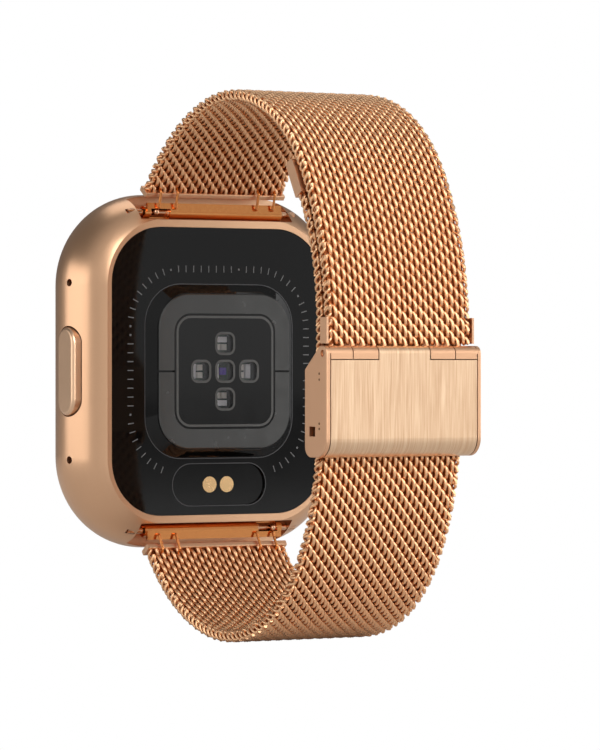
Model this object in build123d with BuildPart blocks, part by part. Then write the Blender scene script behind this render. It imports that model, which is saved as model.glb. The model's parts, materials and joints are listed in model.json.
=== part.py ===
from build123d import *
import os

# A rectangular smartwatch on a woven metal loop band, closed as it is worn.
# +X is the three o'clock side with the button, +Y points from the display to the wrist,
# +Z is twelve o'clock. The origin is the centre of the sensor window's outer face.
# "end" is +1 at twelve o'clock and -1 at six o'clock, where the same pieces are turned
# half a turn about Y.

# ---- driving sizes, millimetres ----
case_width = 38.4
case_length = 44.3
case_depth = 9.8
case_corner = 11.5
back_round = 7.1
front_round = 6.2
belly_depth = 6.0

cover_width = 30.8
cover_length = 35.9
cover_corner = 7.0
cover_thickness = 1.2
cover_gap = 0.05

sensor_height = 1.45
bump_width = 21.3
bump_length = 21.6
bump_corner = 5.0
ring_width = 19.0
ring_length = 19.3
ring_corner = 4.3
ring_height = 0.3
ring_split = 0.25
window_width = 14.56
window_length = 14.32
window_corner = 2.3
window_thickness = 1.0
aperture_size = 2.75
aperture_corner = 0.8
aperture_spacing = 3.48
lens_gap = 0.03

charge_recess_length = 13.6
charge_recess_width = 5.3
charge_recess_depth = 0.33
charge_z = -14.2
contact_spacing = 2.5
contact_radius = 1.0

glass_inset = 1.65
glass_thickness = 1.0
glass_gap = 0.1
adhesive_thickness = 0.15
panel_thickness = 1.4

button_length = 11.0
button_width = 4.0
button_depth = 4.6
button_proud = 0.35
button_travel = 0.5
button_gap = 0.15
stem_radius = 0.8
running_gap = 0.03
port_radius = 0.475
port_z = 11.0

slot_width = 22.0
slot_wall = 18.9
slot_depth = 4.3
bar_axis_z = 19.85
bar_axis_depth = 2.0
bar_tube_radius = 0.62
tip_radius = 0.38
tip_reach = 1.15
release_travel = 1.3
sleeve_radius = 0.8
leaf_thickness = 0.35
leaf_top = 21.0

band_width = 20.0
mesh_thickness = 1.5
wire_radius = 0.16
end_bar_thickness = 0.7

clasp_width = 21.6
cheek_thickness = 0.5
strap_line_y = 37.6
layer_gap = 0.3
pin_z = 2.15
pin_radius = 0.4
knuckle_radius = 0.9
knuckle_gap = 0.12
hinge_seam_z = 1.5
lid_cover = 0.8
lid_thickness = 0.7
lid_corner = 2.2
clasp_bottom = -9.95

# ---- derived levels ----
back_y = -sensor_height
cover_inner_y = back_y - cover_thickness
belly_y = back_y - belly_depth
lip_y = back_y - case_depth
bay_floor_y = belly_y + 0.45
rebate_y = lip_y + 0.45
glass_inner_y = rebate_y - adhesive_thickness
bar_y = back_y - bar_axis_depth
bay_width = cover_width - 1.8
bay_length = cover_length - 1.7
glass_width = case_width - 2 * glass_inset
glass_length = case_length - 2 * glass_inset
glass_corner = case_corner - glass_inset
display_bay_width = glass_width - 2.5
display_bay_length = glass_length - 2.5
display_bay_corner = glass_corner - 1.25
button_y = back_y - button_depth
button_face_x = case_width / 2 + button_proud
button_back_x = button_face_x - 1.3
pocket_x = button_back_x - button_travel - button_gap
bay_wall_x = bay_width / 2
band_half = band_width / 2
half_mesh = mesh_thickness / 2
upper_end_y = strap_line_y + mesh_thickness + layer_gap
lid_front_y = upper_end_y + half_mesh + lid_cover
pin_y = lid_front_y - knuckle_radius


def face_plane(y):
    """The plane at height y whose drawing is X across and Z up; it extrudes towards -Y."""
    return Plane.XZ.offset(-y)


def side_plane(end, x=0.0):
    """The plane whose drawing is Y across and the end's own outward Z up."""
    return Plane(origin=(end * x, 0, 0), x_dir=(0, 1, 0), z_dir=(end, 0, 0))


def slab(y, depth, width, length, corner, mode=Mode.ADD):
    """A rounded rectangle of the case's plan from height y to y - depth."""
    with BuildSketch(face_plane(y)) as outline:
        RectangleRounded(width, length, corner)
    extrude(outline.sketch, amount=depth, mode=mode)


def rod(x_from, x_to, y, z, radius, mode=Mode.ADD):
    """A round bar along X."""
    with Locations(Location(((x_from + x_to) / 2, y, z), (0, 90, 0))):
        Cylinder(radius, abs(x_to - x_from), mode=mode)


def block(x, y, z, mode=Mode.ADD):
    """A box given by its low and high limits along each axis."""
    with Locations(((x[0] + x[1]) / 2, (y[0] + y[1]) / 2, (z[0] + z[1]) / 2)):
        Box(x[1] - x[0], y[1] - y[0], z[1] - z[0], mode=mode)


def save(piece, name):
    """Label the finished piece and write its file."""
    piece.part.label = name
    export_step(piece.part, f"parts/{name}.step")


# ---- case ----
straight_side = 0.2

with BuildPart() as case_frame:
    puck_depth = back_round + front_round + straight_side
    slab(belly_y + straight_side / 2 + back_round, puck_depth, case_width, case_length, case_corner)
    fillet(case_frame.faces().sort_by(Axis.Y)[-1].edges(), radius=back_round)
    fillet(case_frame.faces().sort_by(Axis.Y)[0].edges(), radius=front_round)
    split(bisect_by=face_plane(back_y), keep=Keep.TOP)
    split(bisect_by=face_plane(lip_y), keep=Keep.BOTTOM)
    # seats and bays from back to front
    slab(back_y, cover_thickness, cover_width + 2 * cover_gap, cover_length + 2 * cover_gap,
         cover_corner + cover_gap, Mode.SUBTRACT)
    slab(cover_inner_y, cover_inner_y - bay_floor_y, bay_width, bay_length, cover_corner - 0.9,
         Mode.SUBTRACT)
    slab(bay_floor_y, bay_floor_y - rebate_y, display_bay_width, display_bay_length,
         display_bay_corner, Mode.SUBTRACT)
    slab(rebate_y, 2.0, glass_width + 2 * glass_gap, glass_length + 2 * glass_gap,
         glass_corner + glass_gap, Mode.SUBTRACT)
    # slots for the band and the holes for its spring bars
    slot_length = case_length / 2 - slot_wall + 2
    for end in (1, -1):
        with BuildSketch(face_plane(back_y + 1)):
            with Locations((0, end * (slot_wall + slot_length / 2))):
                Rectangle(slot_width, slot_length)
        extrude(amount=slot_depth + 1, mode=Mode.SUBTRACT)
        for side in (1, -1):
            rod(side * (slot_width / 2 - 0.5), side * (slot_width / 2 + tip_reach + 0.15), bar_y,
                end * bar_axis_z, tip_radius + 0.04, Mode.SUBTRACT)
    # button pocket, stem bore and the two sound ports
    with BuildSketch(Plane.YZ.offset(pocket_x)):
        with Locations((button_y, 0)):
            SlotOverall(button_length + 2 * button_gap, button_width + 2 * button_gap, rotation=90)
    extrude(amount=4, mode=Mode.SUBTRACT)
    rod(bay_wall_x - 1, pocket_x + 1, button_y, 0, stem_radius + running_gap, Mode.SUBTRACT)
    for side in (1, -1):
        rod(bay_wall_x - 1, case_width / 2 + 1, button_y + 0.2, side * port_z, port_radius,
            Mode.SUBTRACT)
    # groove for the back seal
    groove_y = cover_inner_y
    slab(groove_y, 0.3, bay_width + 1.3, bay_length + 1.2, cover_corner - 0.25, Mode.SUBTRACT)
    slab(groove_y, 0.3, bay_width + 0.5, bay_length + 0.4, cover_corner - 0.65)
    slab(groove_y, 0.3, bay_width, bay_length, cover_corner - 0.9, Mode.SUBTRACT)
save(case_frame, "case_frame")

with BuildPart() as back_gasket:
    slab(cover_inner_y, 0.28, bay_width + 1.28, bay_length + 1.18, cover_corner - 0.26)
    slab(cover_inner_y, 0.28, bay_width + 0.52, bay_length + 0.42, cover_corner - 0.64, Mode.SUBTRACT)
save(back_gasket, "back_gasket")

with BuildPart() as back_cover:
    slab(back_y, cover_thickness, cover_width, cover_length, cover_corner)
    with BuildSketch(face_plane(back_y)):
        RectangleRounded(bump_width, bump_length, bump_corner)
    with BuildSketch(face_plane(-ring_height)):
        RectangleRounded(ring_width + 0.2, ring_length + 0.2, ring_corner + 0.1)
    loft()
    slab(0, sensor_height + cover_thickness, window_width + 0.1, window_length + 0.1,
         window_corner + 0.05, Mode.SUBTRACT)
    with BuildSketch(face_plane(back_y)):
        with Locations((0, charge_z)):
            SlotOverall(charge_recess_length, charge_recess_width)
    extrude(amount=charge_recess_depth, mode=Mode.SUBTRACT)
    with BuildSketch(face_plane(back_y)):
        with Locations((-contact_spacing / 2, charge_z), (contact_spacing / 2, charge_z)):
            Circle(contact_radius + 0.03)
    extrude(amount=cover_thickness, mode=Mode.SUBTRACT)
save(back_cover, "back_cover")

for end, name in ((1, "upper_electrode"), (-1, "lower_electrode")):
    with BuildPart() as electrode:
        slab(0, ring_height, ring_width, ring_length, ring_corner)
        chamfer(electrode.faces().sort_by(Axis.Y)[-1].edges(), length=0.12)
        slab(0, ring_height, window_width + 0.1, window_length + 0.1, window_corner + 0.05,
             Mode.SUBTRACT)
        keep_out = (-end * ring_length, end * ring_split / 2)
        block((-ring_width, ring_width), (-1, 1), (min(keep_out), max(keep_out)), Mode.SUBTRACT)
    save(electrode, name)

aperture_places = [(0, 0)] + [(x, 0) for x in (-aperture_spacing, aperture_spacing)]
aperture_places += [(0, z) for z in (-aperture_spacing, aperture_spacing)]

with BuildPart() as sensor_window:
    slab(0, window_thickness, window_width, window_length, window_corner)
    with BuildSketch(face_plane(0)):
        with Locations(*aperture_places):
            RectangleRounded(aperture_size, aperture_size, aperture_corner)
    extrude(amount=window_thickness, mode=Mode.SUBTRACT)
save(sensor_window, "sensor_window")

with BuildPart() as sensor_lenses:
    lens_size = aperture_size - 2 * lens_gap
    with BuildSketch(face_plane(-0.05)):
        with Locations(*aperture_places):
            RectangleRounded(lens_size, lens_size, aperture_corner - lens_gap)
    extrude(amount=window_thickness - 0.5)
save(sensor_lenses, "sensor_lenses")

barrier_y = -window_thickness
barrier_depth = 0.8
sensor_board_y = barrier_y - barrier_depth
with BuildPart() as light_barrier:
    slab(barrier_y, barrier_depth, window_width - 0.3, window_length - 0.3, window_corner)
    with BuildSketch(face_plane(barrier_y)):
        with Locations(*aperture_places):
            RectangleRounded(aperture_size - 0.2, aperture_size - 0.2, aperture_corner)
    extrude(amount=barrier_depth, mode=Mode.SUBTRACT)
save(light_barrier, "light_barrier")

with BuildPart() as sensor_board:
    slab(sensor_board_y, 0.6, window_width - 0.3, window_length - 0.3, window_corner)
save(sensor_board, "sensor_board")


def chips(places, width, length):
    """Square-cornered chips on the sensor board, turned by each place's angle."""
    with BuildSketch(face_plane(sensor_board_y + chip_height)) as outlines:
        with Locations(*[Location((x, z, 0), (0, 0, 1), angle) for x, z, angle in places]):
            Rectangle(width, length)
    extrude(outlines.sketch, amount=chip_height)


# Each outer aperture holds a photodiode on its outer side and two LEDs on its inner side.
chip_height = 0.5
diode_offset = aperture_spacing + 0.5
led_offset = aperture_spacing - 0.45
led_spacing = 0.96
with BuildPart() as photodiodes:
    chips([(diode_offset, 0, 90), (0, diode_offset, 0), (-diode_offset, 0, 90),
           (0, -diode_offset, 0)], 1.8, 0.7)
    chips([(0.55, 0, 0)], 0.5, 1.8)
save(photodiodes, "photodiodes")

with BuildPart() as green_leds:
    for step in (-led_spacing / 2, led_spacing / 2):
        chips([(led_offset, step, 0), (step, led_offset, 0), (-led_offset, step, 0),
               (step, -led_offset, 0)], 0.75, 0.75)
save(green_leds, "green_leds")

with BuildPart() as infrared_led:
    chips([(-0.35, 0, 0)], 0.9, 0.9)
save(infrared_led, "infrared_led")

main_board_y = cover_inner_y - 0.65
main_board_thickness = 0.8
boss_places = [(x, z) for x in (-11.6, 11.6) for z in (-14.2, 14.2)]
with BuildPart() as charging_contacts:
    contact_face_y = back_y - charge_recess_depth + 0.05
    with BuildSketch(face_plane(contact_face_y)):
        with Locations((-contact_spacing / 2, charge_z), (contact_spacing / 2, charge_z)):
            Circle(contact_radius)
    extrude(amount=contact_face_y - main_board_y)
    with BuildSketch(face_plane(cover_inner_y)):
        with Locations((-contact_spacing / 2, charge_z), (contact_spacing / 2, charge_z)):
            Circle(contact_radius + 0.15)
    extrude(amount=0.3)
save(charging_contacts, "charging_contacts")

# ---- inside the case ----
with BuildPart() as main_board:
    slab(main_board_y, main_board_thickness, bay_width - 1.2, bay_length - 1.2, cover_corner - 1.5)
    with BuildSketch(face_plane(main_board_y)):
        with Locations(*boss_places):
            Circle(0.65)
    extrude(amount=main_board_thickness, mode=Mode.SUBTRACT)
save(main_board, "main_board")

board_front_y = main_board_y - main_board_thickness
with BuildPart() as board_shields:
    for x, z, width, length in ((-5.0, 8.5, 9.0, 9.0), (5.5, 8.5, 9.0, 8.0), (-4.0, -6.0, 13.0, 11.0)):
        with BuildSketch(face_plane(board_front_y)):
            with Locations((x, z)):
                RectangleRounded(width, length, 0.5)
        extrude(amount=0.7)
save(board_shields, "board_shields")

with BuildPart() as battery:
    battery_y = board_front_y - 0.8
    with BuildSketch(face_plane(battery_y)):
        RectangleRounded(20.0, 24.0, 1.5)
    extrude(amount=3.1)
    fillet(battery.edges().filter_by(Axis.Y, reverse=True), radius=0.4)
save(battery, "battery")

frame_plate_y = battery_y - 3.15
with BuildPart() as inner_frame:
    slab(frame_plate_y, 1.1, display_bay_width - 0.3, display_bay_length - 0.3,
         display_bay_corner - 0.15)
    with BuildSketch(face_plane(battery_y - 0.4)):
        RectangleRounded(21.6, 25.6, 2.0)
        RectangleRounded(20.2, 24.2, 1.6, mode=Mode.SUBTRACT)
    extrude(until=Until.NEXT)
    with BuildSketch(face_plane(board_front_y)):
        with Locations(*boss_places):
            Circle(1.3)
    extrude(until=Until.NEXT)
    with BuildSketch(face_plane(board_front_y)):
        with Locations(*boss_places):
            Circle(0.5)
    extrude(amount=3.5, mode=Mode.SUBTRACT)
save(inner_frame, "inner_frame")

with BuildPart() as board_screws:
    with BuildSketch(face_plane(main_board_y + 0.45)):
        with Locations(*boss_places):
            Circle(1.0)
    extrude(amount=0.45)
    with BuildSketch(face_plane(main_board_y)):
        with Locations(*boss_places):
            Circle(0.49)
    extrude(amount=3.6)
save(board_screws, "board_screws")

with BuildPart() as vibration_motor:
    rod(-9.0, -0.5, battery_y - 1.4, 14.9, 1.6)
    rod(-0.5, 0.3, battery_y - 1.4, 14.9, 0.35)
    rod(0.3, 3.0, battery_y - 1.4, 14.9, 1.5)
save(vibration_motor, "vibration_motor")

port_mesh_thickness = 0.15
sound_face_x = bay_wall_x - port_mesh_thickness - 0.06
with BuildPart() as port_meshes:
    for side in (1, -1):
        rod(sound_face_x, sound_face_x + port_mesh_thickness, button_y + 0.2, side * port_z, 0.75)
save(port_meshes, "port_meshes")

sound_y = (button_y + 0.2 - 1.3, button_y + 0.2 + 1.3)
with BuildPart() as speaker:
    block((11.0, sound_face_x), sound_y, (-11.7, -5.9))
    fillet(speaker.edges().filter_by(Axis.X), radius=0.4)
save(speaker, "speaker")

with BuildPart() as microphone:
    block((sound_face_x - 1.5, sound_face_x), sound_y, (port_z - 1.2, port_z + 1.2))
save(microphone, "microphone")

clip_x = (bay_wall_x - 0.4, bay_wall_x - 0.1)
seal_x = (15.6, 16.25)
stem_end_x = clip_x[0] - 0.4
with BuildPart() as button_switch:
    block((11.3, stem_end_x - button_travel - 0.05), (button_y - 1.4, button_y + 1.4), (-2.0, 2.0))
save(button_switch, "button_switch")

with BuildPart() as button_cap:
    with BuildSketch(Plane.YZ.offset(button_back_x)):
        with Locations((button_y, 0)):
            SlotOverall(button_length, button_width, rotation=90)
    extrude(amount=button_face_x - button_back_x)
    fillet(button_cap.faces().sort_by(Axis.X)[-1].edges(), radius=0.45)
    rod(stem_end_x, button_back_x, button_y, 0, stem_radius)
    for groove in (clip_x, seal_x):
        rod(groove[0], groove[1], button_y, 0, stem_radius, Mode.SUBTRACT)
        rod(groove[0], groove[1], button_y, 0, 0.5)
save(button_cap, "button_cap")

with BuildPart() as button_seal:
    seal_middle = (seal_x[0] + seal_x[1]) / 2
    rod(seal_middle - 0.28, seal_middle + 0.28, button_y, 0, stem_radius + 0.01)
    rod(seal_middle - 0.28, seal_middle + 0.28, button_y, 0, 0.5, Mode.SUBTRACT)
    fillet(button_seal.edges().filter_by(GeomType.CIRCLE), radius=0.12)
save(button_seal, "button_seal")

with BuildPart() as button_clip:
    rod(clip_x[0] + 0.02, clip_x[1] - 0.02, button_y, 0, 1.5)
    rod(clip_x[0], clip_x[1], button_y, 0, 0.5, Mode.SUBTRACT)
    block(clip_x, (button_y, button_y + 2), (-0.42, 0.42), Mode.SUBTRACT)
save(button_clip, "button_clip")

# ---- display ----
with BuildPart() as display_glass:
    slab(glass_inner_y, glass_thickness, glass_width, glass_length, glass_corner)
    fillet(display_glass.faces().sort_by(Axis.Y)[0].edges(), radius=0.7)
save(display_glass, "display_glass")

with BuildPart() as display_adhesive:
    slab(rebate_y, adhesive_thickness, glass_width - 0.2, glass_length - 0.2, glass_corner - 0.1)
    slab(rebate_y, adhesive_thickness, display_bay_width + 0.2, display_bay_length + 0.2,
         display_bay_corner + 0.1, Mode.SUBTRACT)
save(display_adhesive, "display_adhesive")

with BuildPart() as display_panel:
    slab(glass_inner_y + panel_thickness, panel_thickness, display_bay_width - 1.6,
         display_bay_length - 1.2, display_bay_corner - 1.0)
save(display_panel, "display_panel")

# ---- band hardware at the case ----
def spring_bar_block(end, x, y, z, mode=Mode.SUBTRACT):
    """A box placed from the spring bar's middle, turned with the end."""
    xs = sorted(end * value for value in x)
    zs = sorted(end * (bar_axis_z + value) for value in z)
    block(xs, (bar_y + y[0], bar_y + y[1]), zs, mode)


lug_x = slot_width / 2
tube_end_x = band_half - 0.7
tip_plug_x = tube_end_x - 1.1
knob_x = band_half - 1.5
knob_radius = 0.35
shoulder_x = knob_x - 2.4
bore_radius = bar_tube_radius - 0.2
spring_wire = 0.08
spring_radius = bore_radius - spring_wire - 0.05
spring_start_x = 0.1 - tip_plug_x
spring_length = shoulder_x - release_travel - 0.2 - spring_start_x
outer_hook_x = band_half - 1.7
inner_hook_x = band_half - 4.1
hook_places = (-outer_hook_x, -inner_hook_x, inner_hook_x, outer_hook_x)
hook_z = 20.35

for end, name in ((1, "upper"), (-1, "lower")):
    axis_z = end * bar_axis_z

    with BuildPart() as bar_tube:
        rod(-tube_end_x, tube_end_x, bar_y, axis_z, bar_tube_radius)
        rod(-tube_end_x, tube_end_x, bar_y, axis_z, bore_radius, Mode.SUBTRACT)
        slot_x = (knob_x - release_travel - knob_radius - 0.15, knob_x + knob_radius + 0.15)
        spring_bar_block(end, slot_x, (0, 1), (-0.4, 0.4))
    save(bar_tube, f"{name}_bar_tube")

    with BuildPart() as bar_tip:
        rod(-end * (lug_x + tip_reach), -end * tip_plug_x, bar_y, axis_z, tip_radius)
        rod(-end * tube_end_x, -end * tip_plug_x, bar_y, axis_z, bore_radius - 0.01)
    save(bar_tip, f"{name}_bar_tip")

    with BuildPart() as bar_spring:
        with BuildLine() as coil:
            Helix(pitch=1.0, height=spring_length, radius=spring_radius,
                  center=(end * spring_start_x, bar_y, axis_z), direction=(end, 0, 0))
        with BuildSketch(Plane(origin=coil.line @ 0, z_dir=coil.line % 0)):
            Circle(spring_wire)
        sweep()
    save(bar_spring, f"{name}_bar_spring")

    with BuildPart() as release_pin:
        rod(end * shoulder_x, end * (lug_x + tip_reach), bar_y, axis_z, tip_radius)
        rod(end * shoulder_x, end * (shoulder_x + 0.8), bar_y, axis_z, bore_radius - 0.01)
        with BuildSketch(face_plane(bar_y + 1.15)):
            with Locations((end * knob_x, axis_z)):
                Circle(knob_radius)
        extrude(amount=1.0)
        fillet(release_pin.faces().sort_by(Axis.Y)[-1].edges(), radius=0.2)
    save(release_pin, f"{name}_release_pin")

    with BuildPart() as hinge_sleeve:
        rod(-band_half + 0.05, band_half - 0.05, bar_y, axis_z, sleeve_radius)
        leaf_front = sleeve_radius + 0.1
        spring_bar_block(end, (-band_half + 0.25, band_half - 0.25),
                         (leaf_front - leaf_thickness, leaf_front), (0, leaf_top - bar_axis_z),
                         Mode.ADD)
        rod(-band_half, band_half, bar_y, axis_z, bar_tube_radius + running_gap, Mode.SUBTRACT)
        spring_bar_block(end, (slot_x[0] - 0.3, slot_x[1] + 0.2), (-0.3, 1), (-1, 0.42))
    save(hinge_sleeve, f"{name}_hinge_sleeve")

# ---- band ----
# Each strap's middle line is drawn in its own side plane, from the clasp over to the case,
# as the radius and angle of each tangent arc.
upper_arcs = ((36.9, 30.4), (20.0, 37.2), (20.0, 36.6), (26.9, 39.0))
lower_arcs = ((31.2, 31.2), (19.5, 36.2), (20.5, 36.6), (24.0, 39.0))
upper_start_z = 4.7
lower_start_z = 6.3
mesh_end_z = 3.3
clip_depth = 3.1
clip_thickness = 0.3
tail_start_z = 6.0
tail_radius = 30.0
tail_angle = 29.5
tip_length = 4.6


def strap_line(start, arcs):
    """Draw a strap's middle line as tangent arcs and return the last one."""
    piece = JernArc(start=start, tangent=(0, 1), radius=arcs[0][0], arc_size=arcs[0][1])
    for radius, angle in arcs[1:]:
        piece = JernArc(start=piece @ 1, tangent=piece % 1, radius=radius, arc_size=angle)
    return piece


with BuildPart() as upper_mesh:
    with BuildSketch(side_plane(1)):
        with BuildLine():
            Line((upper_end_y, mesh_end_z), (upper_end_y, upper_start_z))
            upper_last = strap_line((upper_end_y, upper_start_z), upper_arcs)
        trace(line_width=mesh_thickness)
    extrude(amount=band_half, both=True)
    # the flattened end that the clip holds
    flat_y = upper_end_y - half_mesh + clip_thickness + 0.1
    block((-band_half, band_half), (flat_y - 1, flat_y), (mesh_end_z - 1, mesh_end_z + clip_depth),
          Mode.SUBTRACT)
save(upper_mesh, "upper_mesh")

with BuildPart() as lower_mesh:
    with BuildSketch(side_plane(-1)):
        with BuildLine():
            tail_line = JernArc(start=(strap_line_y, -tail_start_z), tangent=(0, -1),
                                radius=tail_radius, arc_size=-tail_angle)
            Line((strap_line_y, -tail_start_z), (strap_line_y, lower_start_z))
            lower_last = strap_line((strap_line_y, lower_start_z), lower_arcs)
        trace(line_width=mesh_thickness)
    extrude(amount=band_half, both=True)
save(lower_mesh, "lower_mesh")

with BuildPart() as tail_tip:
    with BuildSketch(side_plane(-1)):
        with BuildLine():
            tip_line = Line(tail_line @ 1, tail_line @ 1 + (tail_line % 1) * tip_length)
        trace(line_width=mesh_thickness + 0.1)
    extrude(amount=band_half + 0.1, both=True)
    fillet(tail_tip.faces().sort_by(Axis.Z)[-1].edges().filter_by(Axis.X), radius=0.5)
save(tail_tip, "tail_tip")

for end, name, last in ((1, "upper", upper_last), (-1, "lower", lower_last)):
    strap_end = last @ 1
    along = last % 1
    inward = Vector(-along.Y, along.X)

    with BuildPart() as end_bar:
        with BuildSketch(side_plane(end)):
            with BuildLine():
                Line(strap_end, strap_end + along * end_bar_thickness)
            trace(line_width=mesh_thickness + 0.2)
        extrude(amount=band_half + 0.1, both=True)
        fillet(end_bar.edges().filter_by(Axis.X), radius=0.15)
    save(end_bar, f"{name}_end_bar")

    # each link wire stands on the sleeve's leaf and hooks over the end bar into the mesh
    leaf_y = bar_y + sleeve_radius
    with BuildPart() as link_hooks:
        for x in hook_places:
            bends = [Vector(leaf_y - 0.15, hook_z), Vector(leaf_y + 0.5, hook_z),
                     strap_end - along * 0.4 + inward * (half_mesh + 0.35),
                     strap_end - along * 0.6 + inward * (half_mesh - 0.3)]
            with BuildLine() as wire:
                FilletPolyline([(end * x, bend.X, end * bend.Y) for bend in bends], radius=0.2)
            with BuildSketch(Plane(origin=wire.line @ 0, z_dir=wire.line % 0)):
                Circle(wire_radius)
            sweep(path=wire.line)
    save(link_hooks, f"{name}_link_hooks")

# ---- clasp ----
# widths of the hinge's knuckles: lid, strap clip and body from the middle outwards
lid_knuckle_x = 3.55
clip_knuckle_x = 7.2
clasp_half = clasp_width / 2
cheek_x = clasp_half - cheek_thickness
lid_half = cheek_x - knuckle_gap
bar_gap = 0.4
cross_bar_places = (-0.55, -6.35)
cross_bar_height = 1.1
cross_bar_thickness = 0.55
strap_front_y = strap_line_y + half_mesh
strap_back_y = strap_line_y - half_mesh
lid_back_y = lid_front_y - lid_thickness
base_gap = 0.35
base_thickness = 0.35
base_y = strap_back_y - base_gap
cheek_back_y = base_y - base_thickness
cheek_slope_z = 0.3
base_top_z = 0.7
base_bottom_z = clasp_bottom + 1.8
back_corner = 1.3
lip_y = strap_front_y + layer_gap
press_bar = (-4.8, -2.2)
tool_hole = (-7.5, -6.35)
edge_clear_radius = (knuckle_radius**2 + (pin_z - hinge_seam_z)**2)**0.5 + running_gap + 0.02


def knuckle(x_limits):
    """A rolled knuckle round the pin, with a flat front that is level with the lid's."""
    rod(x_limits[0], x_limits[1], pin_y, pin_z, knuckle_radius)
    block(x_limits, (lid_back_y, lid_front_y), (hinge_seam_z, pin_z))


with BuildPart() as strap_clip:
    clip_front_y = flat_y - 0.02
    clip_back_y = clip_front_y - clip_thickness
    block((-cheek_x, cheek_x), (clip_back_y, upper_end_y + half_mesh),
          (mesh_end_z, mesh_end_z + clip_depth - 0.05))
    block((-band_half - 0.02, band_half + 0.02), (clip_front_y, upper_end_y + 2),
          (mesh_end_z - 1, mesh_end_z + clip_depth + 1), Mode.SUBTRACT)
    for side in (1, -1):
        limits = sorted((side * (lid_knuckle_x + knuckle_gap), side * (clip_knuckle_x - knuckle_gap)))
        knuckle(limits)
        block(limits, (clip_back_y, pin_y), (pin_z, pin_z + knuckle_radius))
        block(limits, (clip_back_y, clip_front_y), (pin_z, mesh_end_z + 0.5))
        rod(limits[0], limits[1], pin_y, pin_z, pin_radius + running_gap, Mode.SUBTRACT)
save(strap_clip, "strap_clip")

with BuildPart() as clasp_body:
    with BuildSketch(side_plane(1)):
        with BuildLine():
            front = Line((lid_front_y, pin_z), (lid_front_y, clasp_bottom + lid_corner))
            front_turn = JernArc(start=front @ 1, tangent=front % 1, radius=lid_corner, arc_size=-90)
            foot = Line(front_turn @ 1, (cheek_back_y + back_corner, clasp_bottom))
            back_turn = JernArc(start=foot @ 1, tangent=foot % 1, radius=back_corner, arc_size=-90)
            Polyline(back_turn @ 1, (cheek_back_y, cheek_slope_z), (pin_y - 0.6, pin_z + knuckle_radius),
                     (pin_y, pin_z + knuckle_radius))
            JernArc(start=(pin_y, pin_z + knuckle_radius), tangent=(1, 0), radius=knuckle_radius,
                    arc_size=-90)
        make_face()
    extrude(amount=clasp_half, both=True)
    fillet(clasp_body.faces().sort_by(Axis.X)[-1].edges(), radius=0.12)
    fillet(clasp_body.faces().sort_by(Axis.X)[0].edges(), radius=0.12)
    # clear the inside between the cheeks, down to the thin base
    inside = (-cheek_x, cheek_x)
    block(inside, (base_y, lid_front_y + 1), (-20, 20), Mode.SUBTRACT)
    block(inside, (base_y - 5, base_y + 1), (base_top_z, 20), Mode.SUBTRACT)
    block(inside, (base_y - 5, base_y + 1), (-20, base_bottom_z), Mode.SUBTRACT)
    for side in (1, -1):
        limits = sorted((side * clip_knuckle_x, side * cheek_x))
        knuckle(limits)
        # the seam between the knuckle and the cheek
        seam = sorted((side * lid_half, side * cheek_x))
        block(seam, (pin_y, lid_front_y + 1), (hinge_seam_z - 1, pin_z), Mode.SUBTRACT)
        block(seam, (pin_y - 2, lid_front_y + 1), (pin_z + pin_radius + 0.2, 20), Mode.SUBTRACT)
        limits = sorted((side * clip_knuckle_x, side * clasp_half))
        rod(limits[0], limits[1], pin_y, pin_z, pin_radius, Mode.SUBTRACT)
    block((-clasp_half, clasp_half), (strap_line_y - 0.4, strap_line_y + 0.85), tool_hole,
          Mode.SUBTRACT)
save(clasp_body, "clasp_body")

with BuildPart() as clasp_crossbars:
    for z in cross_bar_places:
        block((-cheek_x, cheek_x), (strap_front_y + bar_gap, strap_front_y + bar_gap + cross_bar_thickness),
              (z - cross_bar_height / 2, z + cross_bar_height / 2))
    fillet(clasp_crossbars.edges().filter_by(Axis.X), radius=0.15)
save(clasp_crossbars, "clasp_crossbars")

with BuildPart() as clasp_pin:
    rod(-clasp_half + 0.15, clasp_half - 0.15, pin_y, pin_z, pin_radius)
    fillet(clasp_pin.edges(), radius=0.12)
save(clasp_pin, "clasp_pin")

with BuildPart() as clasp_lid:
    with BuildSketch(side_plane(1)):
        with BuildLine():
            middle_y = lid_front_y - lid_thickness / 2
            curl_radius = lid_corner - lid_thickness / 2
            lip_z = clasp_bottom + lid_thickness / 2
            face_line = Line((middle_y, hinge_seam_z - knuckle_gap), (middle_y, lip_z + curl_radius))
            curl = JernArc(start=face_line @ 1, tangent=face_line % 1, radius=curl_radius, arc_size=-90)
            Line(curl @ 1, (lip_y, lip_z))
        trace(line_width=lid_thickness)
    extrude(amount=lid_half, both=True)
    # the middle tab rolls round the pin
    tab = (-lid_knuckle_x, lid_knuckle_x)
    knuckle(tab)
    block(tab, (lid_back_y, lid_front_y), (hinge_seam_z - 0.5, pin_z))
    rod(tab[0], tab[1], pin_y, pin_z, pin_radius + running_gap, Mode.SUBTRACT)
    # beside the tab the edge is hollowed, so that it turns clear of the other knuckles
    for side in (1, -1):
        limits = sorted((side * lid_knuckle_x, side * (lid_half + 1)))
        rod(limits[0], limits[1], pin_y, pin_z, edge_clear_radius, Mode.SUBTRACT)
    # the bar that presses on the mesh between the two crossbars
    block((-cheek_x + 0.6, cheek_x - 0.6), (strap_front_y + layer_gap, lid_back_y), press_bar)
save(clasp_lid, "clasp_lid")
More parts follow.
